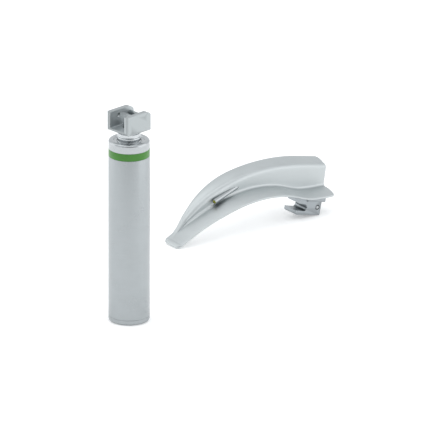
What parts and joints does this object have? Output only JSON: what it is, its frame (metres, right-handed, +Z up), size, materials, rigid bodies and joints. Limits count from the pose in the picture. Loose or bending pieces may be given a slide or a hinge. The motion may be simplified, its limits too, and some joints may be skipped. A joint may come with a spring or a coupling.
{
  "type": "laryngoscope",
  "caption": "Fibre-light laryngoscope: battery handle standing on its cap, with a green ring and U-shaped hook-on head; curved blade with light guide and hook block lies apart behind it.",
  "frame": {"origin": "middle of the handle's base, on the surface it stands on", "axes": "+Z up the handle's axis; Y along the head's channel, +Y towards its hinge pin; +X towards one ear"},
  "size_m": [0.1069, 0.2665, 0.1492],
  "materials": {
    "satin_steel": "satin stainless steel",
    "bright_steel": "polished steel",
    "spring_steel": "bright drawn wire",
    "nickel": "nickel plate",
    "brass": "turned brass",
    "green_ring": "green anodised aluminium",
    "white_plastic": "moulded",
    "seal_rubber": "O-ring",
    "cell_jacket": "plain printed sleeve",
    "lens_glass": "polished",
    "led_body": "LED resin",
    "fibre_glass": "polished fibre ends"
  },
  "bodies": {
    "handle": {"battery_tube": "satin_steel", "battery_1": "cell_jacket", "battery_2": "cell_jacket", "top_contact": "brass", "contact_bush": "white_plastic", "green_ring": "green_ring", "top_collar": "satin_steel", "hook_head": "satin_steel", "hinge_pin": "bright_steel", "lamp_spring": "spring_steel"},
    "lamp": {"lamp_cartridge": "bright_steel", "led_lamp": "led_body", "lamp_lens": "lens_glass"},
    "cap_carriage": {"spring_plate": "nickel", "contact_spring": "spring_steel"},
    "cap": {"base_cap": "satin_steel", "cap_seal": "seal_rubber"},
    "blade": {"blade": "satin_steel", "hook_block": "satin_steel", "light_guide_tube": "bright_steel", "fibre_bundle": "fibre_glass", "detent_spring": "spring_steel"},
    "ball_near": {"detent_ball_near": "bright_steel"},
    "ball_far": {"detent_ball_far": "bright_steel"}
  },
  "joints": [
    {"name": "lamp_press", "type": "slide", "parent": "handle", "child": "lamp", "axis": [0, 0, -1], "range_m": [0, 0.0012], "stiffness_N_per_m": 800, "springref_m": -0.001, "deforming": ["lamp_spring"]},
    {"name": "cap_travel", "type": "slide", "parent": "handle", "child": "cap_carriage", "axis": [0, 0, -1], "range_m": [0, 0.0031]},
    {"name": "cap_turn", "type": "hinge", "parent": "cap_carriage", "child": "cap", "pos_m": [0, 0, 0], "axis": [0, 0, -1], "range_deg": [0, 720]},
    {"name": "blade_lift", "type": "slide", "parent": "handle", "child": "blade", "axis": [0, 0, 1], "range_m": [0, 0.15]},
    {"name": "ball_near_press", "type": "slide", "parent": "blade", "child": "ball_near", "axis": [-0.9903, 0.1392, 0], "range_m": [0, 0.0005], "stiffness_N_per_m": 1500, "springref_m": -0.0005},
    {"name": "ball_far_press", "type": "slide", "parent": "blade", "child": "ball_far", "axis": [0.9903, -0.1392, 0], "range_m": [0, 0.0005], "stiffness_N_per_m": 1500, "springref_m": -0.0005}
  ],
  "couplings": [
    {"joint": "cap_travel", "follows": "cap_turn", "m_per_rad": 0.00023873}
  ]
}
